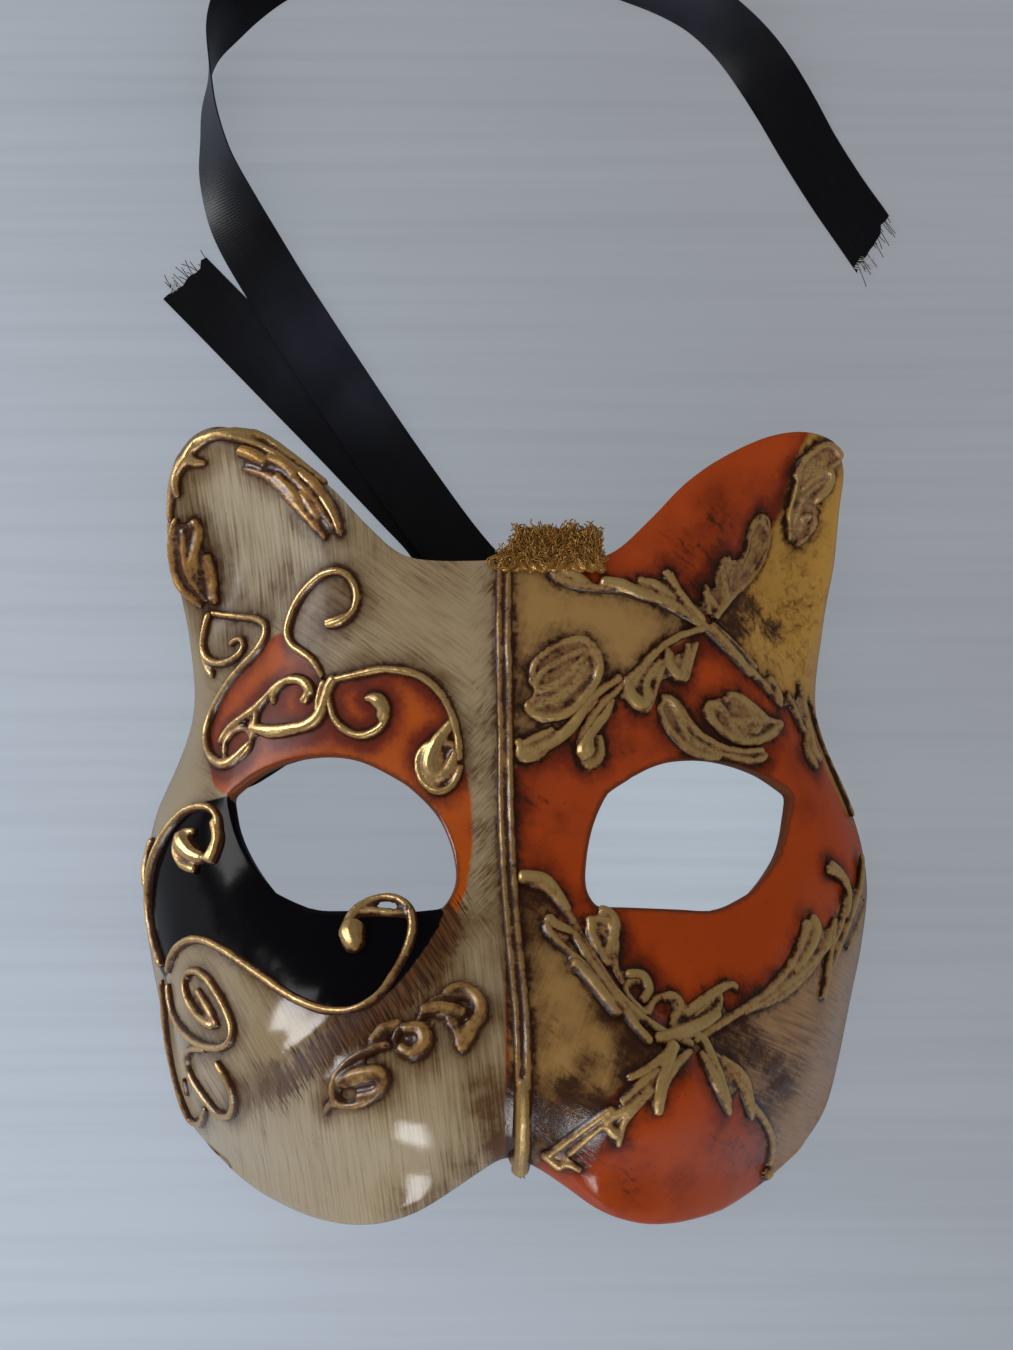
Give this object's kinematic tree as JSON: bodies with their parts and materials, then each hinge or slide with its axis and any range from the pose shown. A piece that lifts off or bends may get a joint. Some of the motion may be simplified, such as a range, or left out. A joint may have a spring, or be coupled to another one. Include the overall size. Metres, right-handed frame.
{
  "type": "venetian masquerade mask",
  "caption": "Cat-eared half mask in painted papier-mache with open eyes, a domed muzzle, gilded relief scrolls and leaves, a corded centre rib, a braid tab and long satin tie ribbons.",
  "frame": {"origin": "centre of the bounding box of the mask without its ribbons, on the plane that its cheek and temple edges rest on", "axes": "+X to the right as a person facing the mask sees it, +Y up the face from the muzzle to the ears, +Z out of the front of the face"},
  "size_m": [0.1548, 0.2751, 0.0615],
  "materials": {
    "papier_mache": "painted and varnished papier-mache, glossy",
    "gilding": "bright gold paint over a raised relief paste",
    "antique_gilding": "aged gold paint over a raised relief paste",
    "braid": "crinkled metallic thread braid",
    "paper": "glued paper, matte",
    "satin_ribbon": "black satin"
  },
  "bodies": {
    "root": {"shell": "papier_mache", "centre_rib": "antique_gilding", "braid_tab": "braid", "left_ear_rim_cord": "gilding", "left_ear_leaf": "gilding", "left_ear_side_leaves": "gilding", "left_temple_loop": "gilding", "left_brow_line": "gilding", "left_brow_scroll": "gilding", "left_ear_hook": "gilding", "left_brow_hook": "gilding", "left_brow_crest": "gilding", "left_brow_drop": "gilding", "left_eye_spiral": "gilding", "left_cheek_border": "gilding", "left_cheek_loop_upper": "gilding", "left_cheek_loop_lower": "gilding", "left_jaw_line": "gilding", "left_muzzle_scroll": "antique_gilding", "left_muzzle_hook": "antique_gilding", "right_forehead_spray": "antique_gilding", "right_ear_sprig": "antique_gilding", "right_ear_tip_leaf": "antique_gilding", "right_temple_sprig": "antique_gilding", "right_temple_line": "antique_gilding", "right_brow_branch": "antique_gilding", "right_brow_drops": "antique_gilding", "right_forehead_ring": "antique_gilding", "right_forehead_leaf": "antique_gilding", "right_eye_crescent": "antique_gilding", "right_brow_leaves": "antique_gilding", "right_nose_stem": "antique_gilding", "right_nose_hooks": "antique_gilding", "right_cheek_hooks": "antique_gilding", "right_cheek_arm": "antique_gilding", "right_temple_sprays": "antique_gilding", "right_muzzle_leaves": "antique_gilding", "right_muzzle_branch": "antique_gilding", "left_ribbon_patch": "paper", "right_ribbon_patch": "paper", "left_ribbon": "satin_ribbon", "right_ribbon": "satin_ribbon"}
  },
  "joints": []
}
